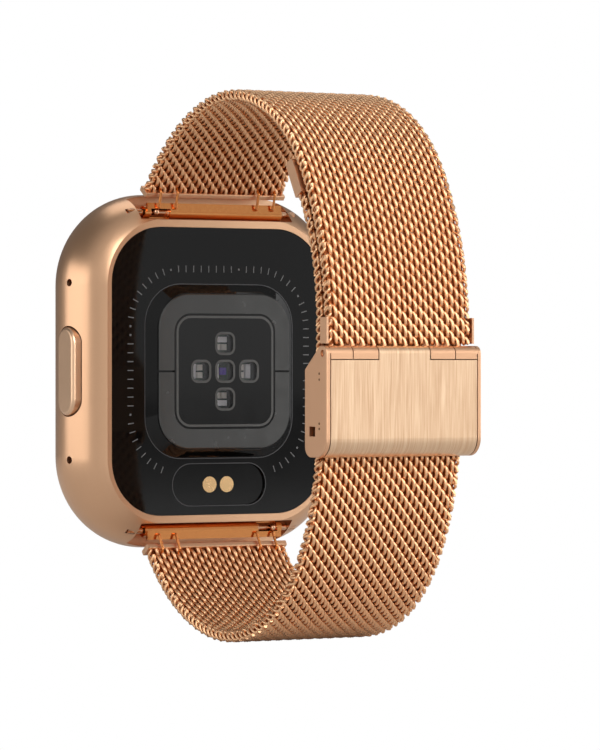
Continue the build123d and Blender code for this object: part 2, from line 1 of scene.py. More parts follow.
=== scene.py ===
import bpy
import json
from math import cos, pi, radians, sin
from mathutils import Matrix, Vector


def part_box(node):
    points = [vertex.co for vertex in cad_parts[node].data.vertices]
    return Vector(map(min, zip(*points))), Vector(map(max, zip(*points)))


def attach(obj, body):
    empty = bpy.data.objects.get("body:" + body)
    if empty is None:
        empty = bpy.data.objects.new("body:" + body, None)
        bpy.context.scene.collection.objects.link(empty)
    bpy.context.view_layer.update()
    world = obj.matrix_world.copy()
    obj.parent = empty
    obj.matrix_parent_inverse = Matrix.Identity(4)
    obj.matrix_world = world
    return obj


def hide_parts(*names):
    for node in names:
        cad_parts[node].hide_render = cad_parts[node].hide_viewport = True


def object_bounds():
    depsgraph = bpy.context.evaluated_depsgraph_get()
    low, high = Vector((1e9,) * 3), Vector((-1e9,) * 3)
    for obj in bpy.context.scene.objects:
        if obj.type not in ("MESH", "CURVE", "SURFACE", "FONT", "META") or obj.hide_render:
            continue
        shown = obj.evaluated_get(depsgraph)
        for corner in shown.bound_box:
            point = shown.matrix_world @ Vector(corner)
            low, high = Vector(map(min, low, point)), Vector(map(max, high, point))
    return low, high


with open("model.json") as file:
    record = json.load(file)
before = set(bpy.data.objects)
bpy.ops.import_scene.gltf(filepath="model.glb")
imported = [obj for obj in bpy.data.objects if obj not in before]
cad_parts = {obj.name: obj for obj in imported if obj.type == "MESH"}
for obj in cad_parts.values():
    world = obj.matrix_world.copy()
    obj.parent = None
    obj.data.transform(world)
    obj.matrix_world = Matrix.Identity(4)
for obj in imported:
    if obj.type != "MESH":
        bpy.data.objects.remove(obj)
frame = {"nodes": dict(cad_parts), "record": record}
cad_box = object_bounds()

# Smartwatch on a woven metal loop band. Metres, in the CAD frame: +X is the button's side,
# +Y points from the case back to the wrist, +Z is twelve o'clock.
MM = 0.001
nodes = frame["nodes"]


# ---- small helpers ----
def srgb(code):
    """An sRGB hex colour as the linear RGBA that the shaders take."""
    channels = [int(code[i:i + 2], 16) / 255 for i in (1, 3, 5)]
    linear = [c / 12.92 if c <= 0.04045 else ((c + 0.055) / 1.055) ** 2.4 for c in channels]
    return (*linear, 1.0)


def low_high(node):
    """A node's lowest and highest corners as vectors."""
    low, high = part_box(node)
    return Vector(low), Vector(high)


def add_node(tree, kind, inputs=(), **settings):
    """Add a node with its settings; each input takes a value or another node's output.

    inputs is a list of (input's name or number, value or output socket).
    """
    node = tree.nodes.new(kind)
    for name, value in settings.items():
        setattr(node, name, value)
    for key, given in inputs:
        if isinstance(given, bpy.types.NodeSocket):
            tree.links.new(given, node.inputs[key])
        else:
            node.inputs[key].default_value = given
    return node


def new_material(name, metallic=0.0, roughness=0.5, **sockets):
    """A material with its Principled shader, whose other sockets are set by name."""
    material = bpy.data.materials.new(name)
    material.use_nodes = True
    shader = material.node_tree.nodes["Principled BSDF"]
    shader.inputs["Metallic"].default_value = metallic
    shader.inputs["Roughness"].default_value = roughness
    for socket, value in sockets.items():
        shader.inputs[socket.replace("_", " ")].default_value = value
    return material, material.node_tree, shader


# ---- materials ----
relief_depth = 0.02 * MM


def grained(name, low, high, grain_mm, rough, metallic=0.0, bump=0.0, stretch=(1, 1, 1), **sockets):
    """A finish whose colour, roughness and fine relief follow one noise of a real grain size.

    low and high are hex colours, rough is the lowest and highest roughness, and stretch
    divides the grain's size along each axis.
    """
    material, tree, shader = new_material(name, metallic=metallic, **sockets)
    grains_per_metre = 1.0 / (grain_mm * MM)
    place = add_node(tree, "ShaderNodeTexCoord")
    spread = add_node(tree, "ShaderNodeMapping",
                      [("Vector", place.outputs["Object"]),
                       ("Scale", [grains_per_metre * s for s in stretch])])
    grain = add_node(tree, "ShaderNodeTexNoise",
                     [("Vector", spread.outputs["Vector"]), ("Scale", 1.0), ("Detail", 2.0)])
    colour = add_node(tree, "ShaderNodeMix",
                      [("Factor", grain.outputs["Fac"]), ("A", srgb(low)), ("B", srgb(high))],
                      data_type="RGBA")
    tree.links.new(colour.outputs["Result"], shader.inputs["Base Color"])
    # most of the noise lies between 0.3 and 0.7
    wear = add_node(tree, "ShaderNodeMapRange",
                    [("Value", grain.outputs["Fac"]), ("From Min", 0.3), ("From Max", 0.7),
                     ("To Min", rough[0]), ("To Max", rough[1])])
    tree.links.new(wear.outputs["Result"], shader.inputs["Roughness"])
    if bump:
        relief = add_node(tree, "ShaderNodeBump",
                          [("Height", grain.outputs["Fac"]), ("Strength", bump),
                           ("Distance", relief_depth)])
        tree.links.new(relief.outputs["Normal"], shader.inputs["Normal"])
    return material


# Aluminium, bead-blasted and rose-gold anodised: a soft even glow with a very fine sparkle.
blasted_case = grained("blasted_rose_gold", "#eab992", "#eebf99", 0.12, (0.28, 0.32), 1.0, 0.02)
# The same alloy, polished on the button: brighter and a little sharper.
button_gold = grained("polished_button_gold", "#f5cba7", "#f6cca8", 3.0, (0.3, 0.32), 1.0)
# Steel with a polished rose-gold plating: clear, warm reflections of what is around it.
polished_gold = grained("polished_rose_gold", "#dc8f52", "#e3985c", 0.5, (0.1, 0.16), 1.0)
# Steel, tumbled satin and rose-gold plated: wide soft highlights.
satin_gold = grained("satin_rose_gold", "#e2b08a", "#e9b994", 0.15, (0.32, 0.42), 1.0, 0.04)
# Drawn steel wire, rose-gold plated: smooth along the wire, worn a little paler here and there.
wire_gold = grained("woven_wire_gold", "#f4bd8e", "#fccc9f", 1.5, (0.32, 0.4), 1.0)
# A flat dark strip inside the weave: its darker, duller colour is painted shade for the gaps between
# the wires.
shade_sheet_gold = grained("painted_weave_shade", "#8a4c28", "#a05c34", 0.5, (0.45, 0.6), 1.0)
# Steel brushed along the band: fine streaks, drawn 0.11 mm wide so that they show, long in Z.
brushed_gold = grained("brushed_rose_gold", "#d8a47a", "#ffe4c2", 0.11, (0.3, 0.4), 1.0, 0.08,
                       (1, 0.01, 0.02))
# Black polycarbonate, high gloss: nearly black with clear reflections.
black_gloss = grained("gloss_black_cover", "#080808", "#0a0a0a", 4.0, (0.03, 0.07),
                      Specular_IOR_Level=0.35)
# Steel with a dark grey vapour coating: a metal sheen on dark grey.
electrode_coat = grained("grey_electrode_coat", "#555554", "#595958", 2.0, (0.2, 0.28), 0.7)
# Sapphire-like window with black print under it.
window_black = grained("black_sensor_window", "#101010", "#131313", 3.0, (0.06, 0.1))
# Clear moulded polycarbonate over the chips.
lens_clear, _, _ = new_material("clear_lens", roughness=0.05, Base_Color=srgb("#f2f2f4"),
                                Transmission_Weight=1.0, IOR=1.5)
# Matte black foam and adhesive.
black_foam = grained("black_foam", "#0c0c0c", "#161616", 0.2, (0.85, 0.95), bump=0.2)
# Silicone rubber, moulded: dark and dull.
seal_rubber = grained("silicone_rubber", "#121212", "#1b1b1b", 0.6, (0.6, 0.7))
# Glass-fibre board under green solder mask.
board_green = grained("solder_mask", "#0c2b1b", "#12402a", 0.5, (0.3, 0.45), bump=0.1)
# Moulded white chip packages: plain white and matt.
chip_white = grained("white_chip", "#ffffff", "#ffffff", 0.3, (0.5, 0.6))
# Lamp chips under clear resin: a pale cream face.
chip_green = grained("led_chip", "#efeadb", "#fbf8ee", 0.2, (0.25, 0.35))
# Infrared diode under a violet filter.
chip_violet = grained("violet_chip", "#4a20b0", "#6a35d8", 0.3, (0.25, 0.35))
# Pale grey ink, printed on the cover.
print_grey = grained("printed_grey_ink", "#5c5c5c", "#666666", 0.3, (0.5, 0.6))
# The window's border: the same coat as the electrodes, a little duller.
border_grey = grained("grey_window_border", "#4c4c4a", "#525250", 1.0, (0.4, 0.5))
# Lighter grey strips on the black cover: painted highlights where its moulded edges catch the light.
edge_highlight_grey = grained("painted_edge_highlight", "#3a3a3c", "#404042", 0.8, (0.3, 0.4))
# Welded spots: the plating is burnt darker and rougher there.
weld_gold = grained("burnt_weld_gold", "#6e4a34", "#8a6044", 0.1, (0.5, 0.65), 1.0, 0.3)
# Gold-plated contact pads.
contact_gold = grained("gold_contact", "#f6c88e", "#fbd29c", 0.4, (0.2, 0.28), 1.0)
# Tinned steel cans over the chips.
shield_steel = grained("tinned_steel", "#a8a9ac", "#bcbdc0", 0.6, (0.3, 0.45), 1.0)
# Aluminium laminate foil, slightly creased.
battery_foil = grained("laminate_foil", "#b2b4b8", "#c4c6ca", 1.2, (0.35, 0.5), 1.0, 0.3)
# Glass-filled nylon, moulded.
frame_plastic = grained("moulded_nylon", "#191919", "#222222", 0.3, (0.55, 0.7), bump=0.15)
# Plain machined steel.
screw_steel = grained("machined_steel", "#8f9093", "#a2a3a6", 0.2, (0.25, 0.35), 1.0)
# Polished steel spring bars with a warm plating.
bar_steel = grained("plated_bar_steel", "#d6a684", "#dfb291", 0.4, (0.14, 0.22), 1.0)
# Fine black steel gauze behind the ports.
port_gauze = grained("black_gauze", "#050505", "#0c0c0c", 0.08, (0.5, 0.6), 0.6, 0.4)
# Moulded black plastic for the small housings: satin and a little grainy.
black_plastic = grained("moulded_black_plastic", "#101010", "#181818", 0.25, (0.45, 0.55), bump=0.1)
# Toughened glass printed black on its inner face.
cover_glass = grained("printed_cover_glass", "#060607", "#08080a", 6.0, (0.02, 0.05), Coat_Weight=0.5)
# The dark film on the back of the screen.
display_black = grained("display_module", "#090909", "#0e0e10", 1.0, (0.25, 0.35))

slot_material = {
    "rose_gold_case": blasted_case, "rose_gold_button": button_gold,
    "rose_gold_polished": polished_gold, "rose_gold_satin": satin_gold,
    "rose_gold_brushed": brushed_gold, "rose_gold_mesh": wire_gold,
    "black_gloss": black_gloss, "electrode_grey": electrode_coat,
    "sensor_black": window_black, "lens_clear": lens_clear, "black_foam": black_foam,
    "seal_rubber": seal_rubber, "circuit_board": board_green, "chip_white": chip_white,
    "chip_green": chip_green, "chip_violet": chip_violet, "gold_contact": contact_gold,
    "shield_steel": shield_steel, "battery_foil": battery_foil, "frame_plastic": frame_plastic,
    "screw_steel": screw_steel, "bar_steel": bar_steel, "port_mesh": port_gauze,
    "black_plastic": black_plastic, "cover_glass": cover_glass, "display_black": display_black,
}

for subpart in frame["record"]["subparts"]:
    cad_object = nodes[subpart["node"]]
    for slot in cad_object.material_slots:
        slot.material = slot_material[subpart["material_slot"]]


# ---- the woven straps ----
# Each row is one flattened spiral wire across the band, and every other row is turned half a
# turn, so that each wire passes through the loops of its neighbours.
band_width = 20.0 * MM
wire_radius = 0.235 * MM
row_spacing = 0.735 * MM
coil_pitch = 1.48 * MM
coil_half_length = 0.74 * MM
coil_half_depth = 0.53 * MM
sideways_step = 0.11
edge_wire_inset = 0.4 * MM
edge_wire_radius = 0.18 * MM
edge_half_width = 0.22 * MM
edge_half_depth = 0.45 * MM
edge_lay = 2.6 * row_spacing
turns_in_row = (band_width - 2 * edge_wire_inset) / coil_pitch
# thickness of the dark strip of painted shade inside the weave
shade_sheet_depth = 0.3 * MM
steps_per_turn = 16
wire_sides = 6
# over the clip the rows are pressed flatter and lie a little further out
flat_length = 3.1 * MM
flat_depth = 0.7
flat_shift = 0.2 * MM

# The straps' middle lines in (Y, Z), from the clasp to the case, as tangent arcs.
upper_arcs = ((36.9, 30.4), (20.0, 37.2), (20.0, 36.6), (26.9, 39.0))
lower_arcs = ((31.2, 31.2), (19.5, 36.2), (20.5, 36.6), (24.0, 39.0))
band_y = 37.6
upper_y = 39.4
clip_z = 3.3
upper_straight_z = 4.7
lower_straight_z = 6.3
tail_z = 6.0
tail_arc = (30.0, 29.5)
path_step = 0.05


def arc_points(y, z, heading, radius, angle, end):
    """Points along a tangent arc, 0.05 mm apart, and the place and heading where it ends.

    The heading is measured from +Y towards +Z, and a positive angle turns towards +Z.
    """
    count = max(2, int(radius * radians(abs(angle)) / path_step))
    turn = radians(angle) / count
    points = []
    for _ in range(count):
        y += radius * abs(turn) * cos(heading + turn / 2)
        z += radius * abs(turn) * sin(heading + turn / 2)
        heading += turn
        points.append((0.0, y, end * z))
    return points, y, z, heading


def line_points(y, z_from, z_to, end):
    """Points along a straight run in Z, 0.05 mm apart."""
    count = int(abs(z_to - z_from) / path_step)
    return [(0.0, y, end * (z_from + (z_to - z_from) * i / count)) for i in range(count + 1)]


def strap_points(y, z_start, straight_z, arcs, end):
    """A strap's middle line, from its straight run round to the case."""
    points = line_points(y, z_start, straight_z, end)
    z, heading = straight_z, pi / 2
    for radius, angle in arcs:
        more, y, z, heading = arc_points(y, z, heading, radius, angle, end)
        points += more
    return points


def path_object(name, points):
    """A curve object through the points, in metres."""
    curve = bpy.data.curves.new(name, "CURVE")
    curve.dimensions = "3D"
    spline = curve.splines.new("POLY")
    spline.points.add(len(points) - 1)
    for point, place in zip(spline.points, points):
        point.co = (place[0] * MM, place[1] * MM, place[2] * MM, 1.0)
    holder = bpy.data.objects.new(name, curve)
    bpy.context.scene.collection.objects.link(holder)
    return holder


upper_path = strap_points(upper_y, clip_z, upper_straight_z, upper_arcs, 1)
tail_points, _, _, _ = arc_points(band_y, tail_z, pi / 2, tail_arc[0], tail_arc[1], 1)
lower_path = tail_points[::-1] + strap_points(band_y, -tail_z, lower_straight_z, lower_arcs, -1)


def new_geometry_tree(name, sizes, flags=()):
    """An empty node group with a geometry input, named float inputs and a geometry output."""
    tree = bpy.data.node_groups.new(name, "GeometryNodeTree")
    tree.interface.new_socket("Geometry", in_out="INPUT", socket_type="NodeSocketGeometry")
    for size in sizes:
        tree.interface.new_socket(size, in_out="INPUT", socket_type="NodeSocketFloat")
    for flag in flags:
        tree.interface.new_socket(flag, in_out="INPUT", socket_type="NodeSocketInt")
    tree.interface.new_socket("Geometry", in_out="OUTPUT", socket_type="NodeSocketGeometry")
    return tree


def finish_tree(tree, geometry, material, smooth=True):
    """End a tree in real geometry, smooth or flat shaded, that carries its material."""
    real = add_node(tree, "GeometryNodeRealizeInstances", [("Geometry", geometry)])
    shaded = add_node(tree, "GeometryNodeSetShadeSmooth", [("Geometry", real.outputs["Geometry"]),
                       ("Shade Smooth", smooth)])
    painted = add_node(tree, "GeometryNodeSetMaterial",
                       [("Geometry", shaded.outputs["Geometry"]), ("Material", material)])
    add_node(tree, "NodeGroupOutput", [("Geometry", painted.outputs["Geometry"])])


def spiral_wire(tree, turns, pitch, half_length, half_depth, radius):
    """A flattened spiral wire along +X, centred on the origin, with Y along the band."""
    height = add_node(tree, "ShaderNodeMath", [(0, turns), (1, pitch)], operation="MULTIPLY")
    spiral = add_node(tree, "GeometryNodeCurveSpiral",
                      [("Rotations", turns), ("Height", height.outputs["Value"]),
                       ("Resolution", steps_per_turn), ("Start Radius", 1.0),
                       ("End Radius", 1.0), ("Reverse", True)])
    lay = add_node(tree, "GeometryNodeTransform",
                   [("Geometry", spiral.outputs["Curve"]), ("Rotation", (0.0, pi / 2, 0.0))])
    # the wire runs steeply over both faces and steps sideways where it turns round
    position = add_node(tree, "GeometryNodeInputPosition")
    place = add_node(tree, "ShaderNodeSeparateXYZ", [("Vector", position.outputs["Position"])])
    quarter = add_node(tree, "ShaderNodeMath",
                       [(0, place.outputs["Y"]), (1, place.outputs["Z"])], operation="MULTIPLY")
    reach = add_node(tree, "ShaderNodeMath", [(0, pitch), (1, sideways_step)],
                     operation="MULTIPLY")
    step = add_node(tree, "ShaderNodeMath",
                    [(0, quarter.outputs["Value"]), (1, reach.outputs["Value"])],
                    operation="MULTIPLY")
    sideways = add_node(tree, "ShaderNodeCombineXYZ", [("X", step.outputs["Value"])])
    stepped = add_node(tree, "GeometryNodeSetPosition",
                       [("Geometry", lay.outputs["Geometry"]),
                        ("Offset", sideways.outputs["Vector"])])
    size = add_node(tree, "ShaderNodeCombineXYZ",
                    [("X", 1.0), ("Y", half_length), ("Z", half_depth)])
    half_back = add_node(tree, "ShaderNodeMath", [(0, height.outputs["Value"]), (1, -0.5)],
                         operation="MULTIPLY")
    back = add_node(tree, "ShaderNodeCombineXYZ", [("X", half_back.outputs["Value"])])
    flat = add_node(tree, "GeometryNodeTransform",
                    [("Geometry", stepped.outputs["Geometry"]), ("Scale", size.outputs["Vector"]),
                     ("Translation", back.outputs["Vector"])])
    ring = add_node(tree, "GeometryNodeCurvePrimitiveCircle",
                    [("Radius", radius), ("Resolution", wire_sides)])
    return add_node(tree, "GeometryNodeCurveToMesh",
                    [("Curve", flat.outputs["Geometry"]), ("Profile Curve", ring.outputs["Curve"]),
                     ("Fill Caps", True)])


def weave_tree():
    """Rows of spiral wire across the band, spaced along a path."""
    tree = new_geometry_tree("woven_rows", ("Row Spacing", "Coil Pitch", "Turns", "Half Length",
                                            "Half Depth", "Wire Radius", "Flat Length",
                                            "Flat Depth", "Flat Shift"), ("First Row", "Last Row"))
    given = add_node(tree, "NodeGroupInput").outputs
    wire = spiral_wire(tree, given["Turns"], given["Coil Pitch"], given["Half Length"],
                       given["Half Depth"], given["Wire Radius"])
    rows = add_node(tree, "GeometryNodeResampleCurve",
                    [("Curve", given["Geometry"]), ("Length", given["Row Spacing"])], mode="LENGTH")
    points = add_node(tree, "GeometryNodeCurveToPoints", [("Curve", rows.outputs["Curve"])],
                      mode="EVALUATED")
    # only the rows from the first to the last one asked for
    index = add_node(tree, "GeometryNodeInputIndex").outputs["Index"]
    before = add_node(tree, "ShaderNodeMath", [(0, index), (1, given["First Row"])],
                      operation="LESS_THAN")
    after = add_node(tree, "ShaderNodeMath", [(0, index), (1, given["Last Row"])],
                     operation="GREATER_THAN")
    outside = add_node(tree, "ShaderNodeMath",
                       [(0, before.outputs["Value"]), (1, after.outputs["Value"])],
                       operation="MAXIMUM")
    inside = add_node(tree, "ShaderNodeMath", [(0, 1.0), (1, outside.outputs["Value"])],
                      operation="SUBTRACT")
    # the row's turn: along the band, and half a turn more on every other row
    direction = add_node(tree, "ShaderNodeSeparateXYZ",
                         [("Vector", points.outputs["Tangent"])]).outputs
    slope = add_node(tree, "ShaderNodeMath", [(0, direction["Z"]), (1, direction["Y"])],
                     operation="ARCTAN2")
    odd_row = add_node(tree, "ShaderNodeMath", [(0, index), (1, 2.0)], operation="MODULO")
    turned = add_node(tree, "ShaderNodeMath",
                      [(0, odd_row.outputs["Value"]), (1, pi), (2, slope.outputs["Value"])],
                      operation="MULTIPLY_ADD")
    rotation = add_node(tree, "ShaderNodeCombineXYZ", [("X", turned.outputs["Value"])])
    spin = add_node(tree, "FunctionNodeEulerToRotation", [("Euler", rotation.outputs["Vector"])])
    # the first rows lie flattened against the outer side, over the clip that holds them
    along = add_node(tree, "ShaderNodeMath", [(0, index), (1, given["Row Spacing"])],
                     operation="MULTIPLY")
    flat = add_node(tree, "ShaderNodeMath",
                    [(0, along.outputs["Value"]), (1, given["Flat Length"])],
                    operation="LESS_THAN").outputs["Value"]
    loss = add_node(tree, "ShaderNodeMath", [(0, given["Flat Depth"]), (1, 1.0)],
                    operation="SUBTRACT")
    depth = add_node(tree, "ShaderNodeMath", [(0, flat), (1, loss.outputs["Value"]), (2, 1.0)],
                     operation="MULTIPLY_ADD")
    squash = add_node(tree, "ShaderNodeCombineXYZ",
                      [("X", 1.0), ("Y", 1.0), ("Z", depth.outputs["Value"])])
    inward = add_node(tree, "ShaderNodeMath", [(0, direction["Y"]), (1, -1.0)],
                      operation="MULTIPLY")
    outward = add_node(tree, "ShaderNodeCombineXYZ",
                       [("Y", direction["Z"]), ("Z", inward.outputs["Value"])])
    push = add_node(tree, "ShaderNodeMath", [(0, flat), (1, given["Flat Shift"])],
                    operation="MULTIPLY")
    shift = add_node(tree, "ShaderNodeVectorMath",
                     [(0, outward.outputs["Vector"]), ("Scale", push.outputs["Value"])],
                     operation="SCALE")
    moved = add_node(tree, "GeometryNodeSetPosition",
                     [("Geometry", points.outputs["Points"]), ("Offset", shift.outputs["Vector"])])
    placed = add_node(tree, "GeometryNodeInstanceOnPoints",
                      [("Points", moved.outputs["Geometry"]), ("Selection", inside.outputs["Value"]),
                       ("Instance", wire.outputs["Mesh"]), ("Rotation", spin.outputs["Rotation"]),
                       ("Scale", squash.outputs["Vector"])])
    finish_tree(tree, placed.outputs["Instances"], wire_gold)
    return tree


def edge_tree():
    """Two wires twisted round each other along both edges of the band, closing the rows' ends."""
    tree = new_geometry_tree("edge_rope", ("Edge Offset", "Half Width", "Half Depth", "Lay",
                                           "Wire Radius"))
    given = add_node(tree, "NodeGroupInput").outputs
    fine_step = add_node(tree, "ShaderNodeMath", [(0, given["Lay"]), (1, steps_per_turn)],
                         operation="DIVIDE")
    fine = add_node(tree, "GeometryNodeResampleCurve",
                    [("Curve", given["Geometry"]), ("Length", fine_step.outputs["Value"])],
                    mode="LENGTH")
    along = add_node(tree, "GeometryNodeSplineParameter").outputs["Length"]
    tangent = add_node(tree, "GeometryNodeInputTangent")
    direction = add_node(tree, "ShaderNodeSeparateXYZ",
                         [("Vector", tangent.outputs["Tangent"])]).outputs
    turns = add_node(tree, "ShaderNodeMath", [(0, along), (1, given["Lay"])], operation="DIVIDE")
    turn = add_node(tree, "ShaderNodeMath", [(0, turns.outputs["Value"]), (1, 2 * pi)],
                    operation="MULTIPLY")
    strands = add_node(tree, "GeometryNodeJoinGeometry")
    ring = add_node(tree, "GeometryNodeCurvePrimitiveCircle",
                    [("Radius", given["Wire Radius"]), ("Resolution", wire_sides)])
    for side in (-1.0, 1.0):
        for start in (0.0, pi):
            angle = add_node(tree, "ShaderNodeMath",
                             [(0, turn.outputs["Value"]), (1, side), (2, start)],
                             operation="MULTIPLY_ADD").outputs["Value"]
            sine = add_node(tree, "ShaderNodeMath", [(0, angle)], operation="SINE")
            cosine = add_node(tree, "ShaderNodeMath", [(0, angle)], operation="COSINE")
            out = add_node(tree, "ShaderNodeMath",
                           [(0, sine.outputs["Value"]), (1, given["Half Depth"])],
                           operation="MULTIPLY").outputs["Value"]
            across = add_node(tree, "ShaderNodeMath",
                              [(0, cosine.outputs["Value"]), (1, given["Half Width"])],
                              operation="MULTIPLY")
            offset_x = add_node(tree, "ShaderNodeMath",
                                [(0, given["Edge Offset"]), (1, side),
                                 (2, across.outputs["Value"])], operation="MULTIPLY_ADD")
            offset_y = add_node(tree, "ShaderNodeMath", [(0, direction["Z"]), (1, out)],
                                operation="MULTIPLY")
            inward = add_node(tree, "ShaderNodeMath", [(0, out), (1, -1.0)],
                              operation="MULTIPLY")
            offset_z = add_node(tree, "ShaderNodeMath",
                                [(0, direction["Y"]), (1, inward.outputs["Value"])],
                                operation="MULTIPLY")
            offset = add_node(tree, "ShaderNodeCombineXYZ",
                              [("X", offset_x.outputs["Value"]), ("Y", offset_y.outputs["Value"]),
                               ("Z", offset_z.outputs["Value"])])
            bent = add_node(tree, "GeometryNodeSetPosition",
                            [("Geometry", fine.outputs["Curve"]),
                             ("Offset", offset.outputs["Vector"])])
            wire = add_node(tree, "GeometryNodeCurveToMesh",
                            [("Curve", bent.outputs["Geometry"]),
                             ("Profile Curve", ring.outputs["Curve"]), ("Fill Caps", True)])
            tree.links.new(wire.outputs["Mesh"], strands.inputs["Geometry"])
    finish_tree(tree, strands.outputs["Geometry"], wire_gold)
    return tree


def grow(name, holder, tree, values, body):
    """Run a geometry tree on an object, keep its result as a plain mesh and ride it on a body."""
    modifier = holder.modifiers.new(name, "NODES")
    modifier.node_group = tree
    for item in tree.interface.items_tree:
        if item.item_type == "SOCKET" and item.in_out == "INPUT" and item.name in values:
            modifier[item.identifier] = values[item.name]
    holder.update_tag()
    graph = bpy.context.evaluated_depsgraph_get()
    mesh = bpy.data.meshes.new_from_object(holder.evaluated_get(graph))
    holder.modifiers.remove(modifier)
    piece = bpy.data.objects.new(name, mesh)
    bpy.context.scene.collection.objects.link(piece)
    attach(piece, body)
    return piece


def shade_sheet_tree():
    """A flat dark strip along a path inside the weave, whose colour paints the shade in the gaps
    between the wires.
    """
    tree = new_geometry_tree("woven_core", ("Sheet Width", "Sheet Depth", "Row Spacing"))
    given = add_node(tree, "NodeGroupInput").outputs
    even = add_node(tree, "GeometryNodeResampleCurve",
                    [("Curve", given["Geometry"]), ("Length", given["Row Spacing"])],
                    mode="LENGTH")
    upright = add_node(tree, "GeometryNodeSetCurveNormal", [("Curve", even.outputs["Curve"])],
                       mode="MINIMUM_TWIST")
    section = add_node(tree, "GeometryNodeCurvePrimitiveQuadrilateral",
                       [("Width", given["Sheet Width"]), ("Height", given["Sheet Depth"])])
    strip = add_node(tree, "GeometryNodeCurveToMesh",
                     [("Curve", upright.outputs["Curve"]),
                      ("Profile Curve", section.outputs["Curve"]), ("Fill Caps", True)])
    finish_tree(tree, strip.outputs["Mesh"], shade_sheet_gold, smooth=False)
    return tree


woven_rows = weave_tree()
edge_rope = edge_tree()
# a dark strip inside each weave paints the shade seen in the gaps between its wires
woven_core = shade_sheet_tree()
shade_sheet_sizes = {"Sheet Width": band_width - 4 * edge_half_width, "Sheet Depth": shade_sheet_depth,
              "Row Spacing": row_spacing}
edge_sizes = {"Edge Offset": band_width / 2 - edge_half_width - edge_wire_radius,
              "Half Width": edge_half_width, "Half Depth": edge_half_depth, "Lay": edge_lay,
              "Wire Radius": edge_wire_radius}
weave_sizes = {"Row Spacing": row_spacing, "Coil Pitch": coil_pitch, "Turns": turns_in_row,
               "Half Length": coil_half_length, "Half Depth": coil_half_depth,
               "Wire Radius": wire_radius}
flat_end = {"Flat Length": flat_length, "Flat Depth": flat_depth, "Flat Shift": flat_shift}
no_flat = {"Flat Length": -1.0, "Flat Depth": 1.0, "Flat Shift": 0.0}
# each weave is grown in two halves, which keeps every mesh at a size that is easy to handle
for side, path, pressed in (("upper", upper_path, flat_end), ("lower", lower_path, no_flat)):
    holder = path_object(f"{side}_path", path)
    row_count = int(len(path) * path_step * MM / row_spacing)
    half = row_count // 2
    pieces = []
    for number, first, last in ((1, 0, half - 1), (2, half, row_count + 1)):
        values = {**weave_sizes, **pressed, "First Row": first, "Last Row": last}
        pieces.append(grow(f"{side}_weave_{number}", holder, woven_rows, values, f"{side}_strap"))
    pieces.append(grow(f"{side}_edge_wires", holder, edge_rope, edge_sizes, f"{side}_strap"))
    pieces.append(grow(f"{side}_core", holder, woven_core, shade_sheet_sizes, f"{side}_strap"))
    for piece in pieces:
        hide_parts(f"{side}_mesh")
    bpy.data.objects.remove(holder)


# ---- borders, marks and welds ----
corner_steps = 10
weld_sides = 12
# a dot stands in for every ninth stroke, twice as wide and much shorter
marks_per_dot = 9.0
dot_width = 2.0
dot_length = 0.3


def grow_at(name, places, tree, values, body):
    """Run a tree that puts its shape at each of the places, as one piece."""
    points = bpy.data.meshes.new(name)
    points.from_pydata(places, [], [])
    holder = bpy.data.objects.new(name, points)
    bpy.context.scene.collection.objects.link(holder)
    piece = grow(name, holder, tree, values, body)
    bpy.data.objects.remove(holder)


def rounded_path(tree, width, length, corner):
    """A rounded rectangle as a curve in the plane of the case back, X across and Z up."""
    outline = add_node(tree, "GeometryNodeCurvePrimitiveQuadrilateral",
                       [("Width", width), ("Height", length)])
    filleted = add_node(tree, "GeometryNodeFilletCurve",
                        [("Curve", outline.outputs["Curve"]), ("Radius", corner),
                         ("Count", corner_steps)], mode="POLY")
    return add_node(tree, "GeometryNodeTransform", [("Geometry", filleted.outputs["Curve"]),
                     ("Rotation", (pi / 2, 0.0, 0.0))]).outputs["Geometry"]


def border_tree(name, material):
    """A flat raised border along a rounded rectangle, at each of the given places."""
    tree = new_geometry_tree(name, ("Width", "Length", "Corner", "Border Width",
                                    "Border Height"))
    given = add_node(tree, "NodeGroupInput").outputs
    path = rounded_path(tree, given["Width"], given["Length"], given["Corner"])
    section = add_node(tree, "GeometryNodeCurvePrimitiveQuadrilateral",
                       [("Width", given["Border Height"]), ("Height", given["Border Width"])])
    strip = add_node(tree, "GeometryNodeCurveToMesh",
                     [("Curve", path), ("Profile Curve", section.outputs["Curve"])])
    copies = add_node(tree, "GeometryNodeInstanceOnPoints",
                      [("Points", given["Geometry"]), ("Instance", strip.outputs["Mesh"])])
    finish_tree(tree, copies.outputs["Instances"], material, smooth=False)
    return tree


